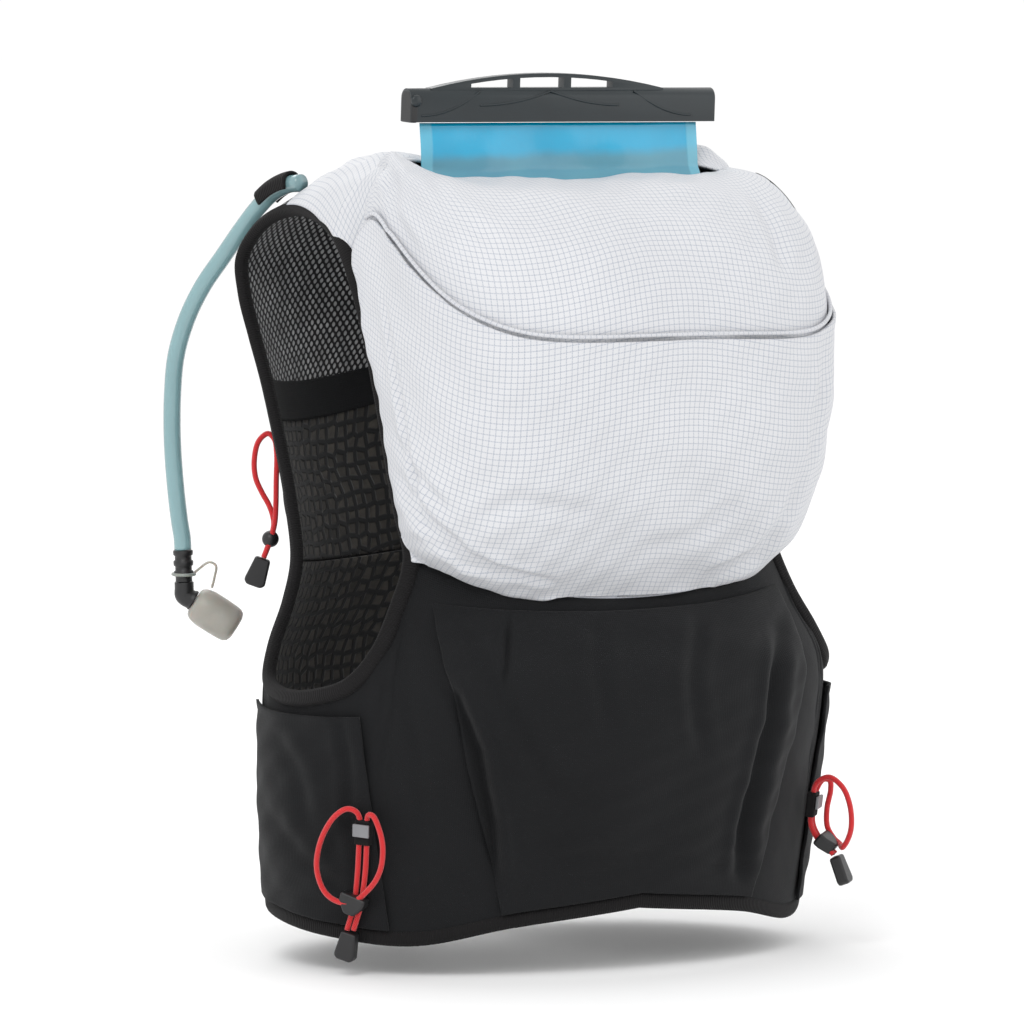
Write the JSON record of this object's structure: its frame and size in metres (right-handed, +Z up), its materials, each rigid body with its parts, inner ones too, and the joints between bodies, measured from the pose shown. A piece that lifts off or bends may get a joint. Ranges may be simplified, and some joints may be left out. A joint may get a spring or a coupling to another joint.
{
  "type": "running hydration vest",
  "caption": "Running hydration vest in its worn form: black stretch body, white ripstop back pack, water bladder with slide closure, drinking hose and red elastic cords.",
  "frame": {"origin": "midway between the two shoulder straps, on the line of the wearer's shoulders", "axes": "+Z up along the wearer's spine, +Y towards the wearer's front, +X towards the wearer's right"},
  "size_m": [0.3316, 0.2923, 0.4705],
  "materials": {
    "black_cloth": "matte stretch knit",
    "spaced_mesh": "matte spaced air mesh",
    "binding": "soft ribbed elastic",
    "white_cloth": "thin ripstop nylon with a dotted grid",
    "film": "glossy welded film",
    "smoke_plastic": "glossy moulded plastic",
    "hose": "translucent glossy tube",
    "black_plastic": "satin moulded plastic",
    "silicone": "translucent smoky silicone",
    "red_elastic": "braided elastic cord",
    "grey_band": "smooth reflective tape",
    "black_cord": "speckled woven cord"
  },
  "bodies": {
    "root": {"armhole_binding_left": "binding", "armhole_binding_right": "binding", "neck_binding": "binding", "hem_band": "binding", "back_pocket": "black_cloth", "shoulder_strap_left": "spaced_mesh", "front_panel_left": "spaced_mesh", "yoke_left": "white_cloth", "side_pocket_left": "black_cloth", "shoulder_strap_right": "spaced_mesh", "front_panel_right": "spaced_mesh", "yoke_right": "white_cloth", "side_pocket_right": "black_cloth", "lower_body": "black_cloth", "front_pocket_left": "black_cloth", "front_pocket_right": "black_cloth", "pack_body": "white_cloth", "pack_pocket": "white_cloth", "pocket_piping": "white_cloth", "back_panel": "spaced_mesh", "bladder": "film", "bladder_closure": "smoke_plastic", "hose": "hose", "hose_loop": "binding", "hose_fitting": "black_plastic", "valve_elbow": "black_plastic", "valve_cover": "silicone", "valve_leash": "silicone", "waist_cord_left": "red_elastic", "cord_keeper_left": "binding", "keeper_band_left": "grey_band", "cord_hook_left": "black_plastic", "cord_end_left": "black_plastic", "waist_cord_right": "red_elastic", "cord_keeper_right": "binding", "keeper_band_right": "grey_band", "cord_hook_right": "black_plastic", "cord_end_right": "black_plastic", "chest_cord": "red_elastic", "chest_hook": "black_plastic", "chest_cord_end": "black_plastic", "chest_tie": "red_elastic", "zip_tape": "black_cloth", "zip_slider": "black_plastic", "zip_pull_cord": "black_cord", "zip_pull_tab": "black_plastic"}
  },
  "joints": []
}
